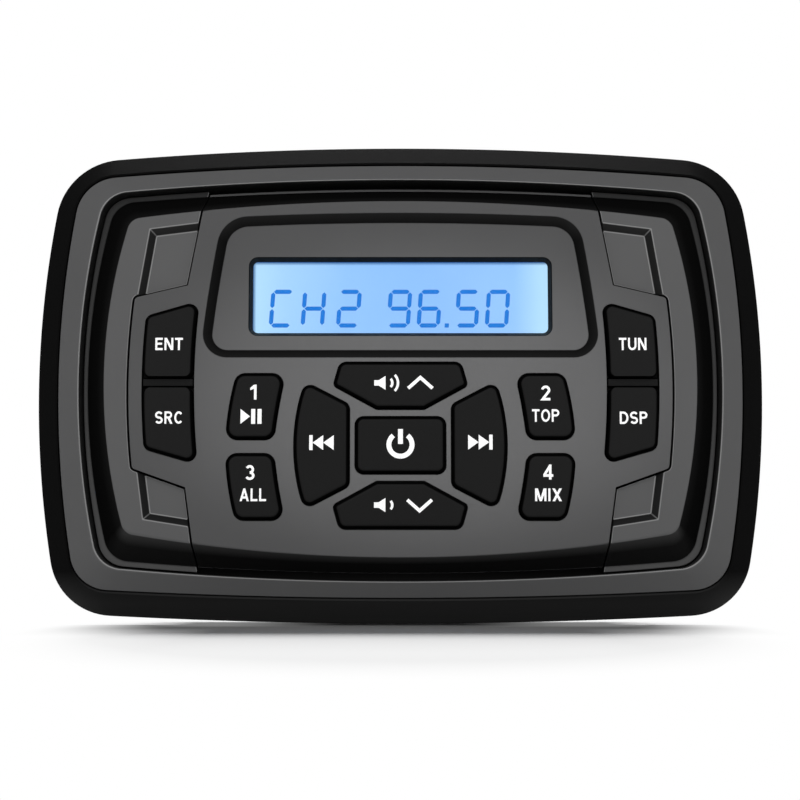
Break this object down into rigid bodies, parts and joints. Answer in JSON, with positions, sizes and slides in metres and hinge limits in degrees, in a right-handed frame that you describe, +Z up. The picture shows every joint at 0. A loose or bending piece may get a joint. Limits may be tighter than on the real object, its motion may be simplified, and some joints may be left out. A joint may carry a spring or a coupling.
{
  "type": "marine stereo head unit",
  "caption": "Flush-mount marine radio head unit with a bevelled bowed frame, grey raised panel, backlit display, rubber keys and a finned rear case.",
  "frame": {"origin": "centre of the flange's rear face, which seats on the panel", "axes": "+Z up, the front faces -Y, +X to the right as seen from the front"},
  "size_m": [0.165, 0.0642, 0.1092],
  "materials": {
    "black_plastic": "moulded, satin",
    "gray_plastic": "moulded, fine satin",
    "ring_plastic": "moulded, fine satin",
    "key_rubber": "moulded silicone, matt",
    "clear_lens": "polished",
    "display_glass": "lit, light blue",
    "white_plastic": "polished light guide",
    "cream_plastic": "moulded",
    "soft_rubber": "soft elastomer",
    "board": "glass-fibre board with lacquer",
    "brass": "bright",
    "clear_light": "clear resin",
    "winding": "lacquered copper wire",
    "aluminium": "extruded",
    "bright_metal": "nickel plated",
    "capacitor_sleeve": "shrink sleeve",
    "amber_plastic": "clear amber"
  },
  "bodies": {
    "case": {"outer_frame": "black_plastic", "front_ring": "ring_plastic", "face_panel": "gray_plastic", "left_trim": "gray_plastic", "right_trim": "gray_plastic", "display_lens": "clear_lens", "lcd_glass": "display_glass", "lcd_frame": "black_plastic", "backlight": "white_plastic", "zebra_strips": "soft_rubber", "keypad_mat": "soft_rubber", "key_board": "board", "key_contacts": "brass", "key_leds": "clear_light", "board_socket": "cream_plastic", "board_header": "black_plastic", "front_seal": "soft_rubber", "panel_gasket": "soft_rubber", "rear_housing": "black_plastic", "heat_sink": "aluminium", "main_board": "board", "amplifier_chip": "black_plastic", "chip_clamp": "bright_metal", "filter_capacitors": "capacitor_sleeve", "choke_coil": "winding", "tuner_module": "bright_metal", "radio_module": "bright_metal", "voltage_regulator": "black_plastic", "harness_socket": "cream_plastic", "harness_pins": "bright_metal", "antenna_socket": "bright_metal", "antenna_contact": "brass", "line_block": "black_plastic", "line_sockets": "bright_metal", "line_cores": "cream_plastic", "fuse_holder": "black_plastic", "blade_fuse": "amber_plastic", "support_insert": "brass", "panel_screws": "bright_metal", "housing_screws": "bright_metal", "heat_sink_screws": "bright_metal", "board_screws": "bright_metal", "clamp_screws": "bright_metal"},
    "left_upper_key": {"left_upper_key": "key_rubber"},
    "left_lower_key": {"left_lower_key": "key_rubber"},
    "right_upper_key": {"right_upper_key": "key_rubber"},
    "right_lower_key": {"right_lower_key": "key_rubber"},
    "key_1": {"key_1": "key_rubber"},
    "key_2": {"key_2": "key_rubber"},
    "key_3": {"key_3": "key_rubber"},
    "key_4": {"key_4": "key_rubber"},
    "volume_up_key": {"volume_up_key": "key_rubber"},
    "volume_down_key": {"volume_down_key": "key_rubber"},
    "previous_key": {"previous_key": "key_rubber"},
    "next_key": {"next_key": "key_rubber"},
    "power_key": {"power_key": "key_rubber"}
  },
  "joints": [
    {"name": "left_upper_key_press", "type": "slide", "parent": "case", "child": "left_upper_key", "axis": [0, 1, 0], "range_m": [0, 0.001], "stiffness_N_per_m": 1500, "springref_m": -0.0005},
    {"name": "left_lower_key_press", "type": "slide", "parent": "case", "child": "left_lower_key", "axis": [0, 1, 0], "range_m": [0, 0.001], "stiffness_N_per_m": 1500, "springref_m": -0.0005},
    {"name": "right_upper_key_press", "type": "slide", "parent": "case", "child": "right_upper_key", "axis": [0, 1, 0], "range_m": [0, 0.001], "stiffness_N_per_m": 1500, "springref_m": -0.0005},
    {"name": "right_lower_key_press", "type": "slide", "parent": "case", "child": "right_lower_key", "axis": [0, 1, 0], "range_m": [0, 0.001], "stiffness_N_per_m": 1500, "springref_m": -0.0005},
    {"name": "key_1_press", "type": "slide", "parent": "case", "child": "key_1", "axis": [0, 1, 0], "range_m": [0, 0.001], "stiffness_N_per_m": 1500, "springref_m": -0.0005},
    {"name": "key_2_press", "type": "slide", "parent": "case", "child": "key_2", "axis": [0, 1, 0], "range_m": [0, 0.001], "stiffness_N_per_m": 1500, "springref_m": -0.0005},
    {"name": "key_3_press", "type": "slide", "parent": "case", "child": "key_3", "axis": [0, 1, 0], "range_m": [0, 0.001], "stiffness_N_per_m": 1500, "springref_m": -0.0005},
    {"name": "key_4_press", "type": "slide", "parent": "case", "child": "key_4", "axis": [0, 1, 0], "range_m": [0, 0.001], "stiffness_N_per_m": 1500, "springref_m": -0.0005},
    {"name": "volume_up_key_press", "type": "slide", "parent": "case", "child": "volume_up_key", "axis": [0, 1, 0], "range_m": [0, 0.001], "stiffness_N_per_m": 1500, "springref_m": -0.0005},
    {"name": "volume_down_key_press", "type": "slide", "parent": "case", "child": "volume_down_key", "axis": [0, 1, 0], "range_m": [0, 0.001], "stiffness_N_per_m": 1500, "springref_m": -0.0005},
    {"name": "previous_key_press", "type": "slide", "parent": "case", "child": "previous_key", "axis": [0, 1, 0], "range_m": [0, 0.001], "stiffness_N_per_m": 1500, "springref_m": -0.0005},
    {"name": "next_key_press", "type": "slide", "parent": "case", "child": "next_key", "axis": [0, 1, 0], "range_m": [0, 0.001], "stiffness_N_per_m": 1500, "springref_m": -0.0005},
    {"name": "power_key_press", "type": "slide", "parent": "case", "child": "power_key", "axis": [0, 1, 0], "range_m": [0, 0.001], "stiffness_N_per_m": 1500, "springref_m": -0.0005}
  ]
}
